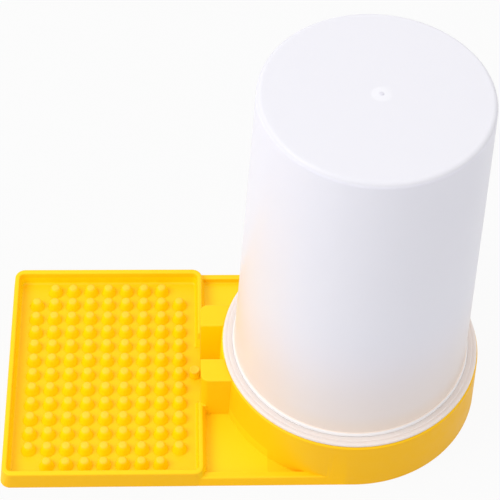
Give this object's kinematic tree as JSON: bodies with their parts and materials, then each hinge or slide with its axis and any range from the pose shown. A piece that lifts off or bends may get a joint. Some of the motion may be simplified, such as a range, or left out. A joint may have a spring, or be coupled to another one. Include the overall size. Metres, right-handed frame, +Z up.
{
  "type": "bee feeder",
  "caption": "Bee water feeder: an upside-down milky cup screwed into a flanged lid, seated in the round well of a flat base with a low studded drinking tray and hive stops.",
  "frame": {"origin": "on the ground under the axis of the cup, the centre of the flat underside below the well", "axes": "+Z up along the cup's axis; the drinking tray lies towards -X; the part is symmetric about the XZ plane apart from its right-hand screw thread"},
  "size_m": [0.2475, 0.136, 0.214],
  "materials": {
    "yellow_plastic": "opaque warm yellow moulded plastic, satin gloss",
    "lid_plastic": "milky white translucent moulded plastic, satin gloss",
    "seal_rubber": "matt pale grey soft seal",
    "cup_plastic": "thin milky white translucent moulded plastic, satin"
  },
  "bodies": {
    "base": {"feeder_base": "yellow_plastic"},
    "lid": {"screw_lid": "lid_plastic"},
    "seal": {"seal_ring": "seal_rubber"},
    "cup": {"reservoir_cup": "cup_plastic"}
  },
  "joints": [
    {"name": "reservoir_lift", "type": "slide", "parent": "base", "child": "lid", "axis": [0, 0, 1], "range_m": [0, 0.06]},
    {"name": "cup_turn", "type": "hinge", "parent": "lid", "child": "seal", "pos_m": [0, 0, 0.0092], "axis": [0, 0, 1], "range_deg": [0, 900]},
    {"name": "cup_rise", "type": "slide", "parent": "seal", "child": "cup", "axis": [0, 0, 1], "range_m": [0, 0.0125]}
  ],
  "couplings": [
    {"joint": "cup_rise", "follows": "cup_turn", "m_per_rad": 0.0007957}
  ]
}
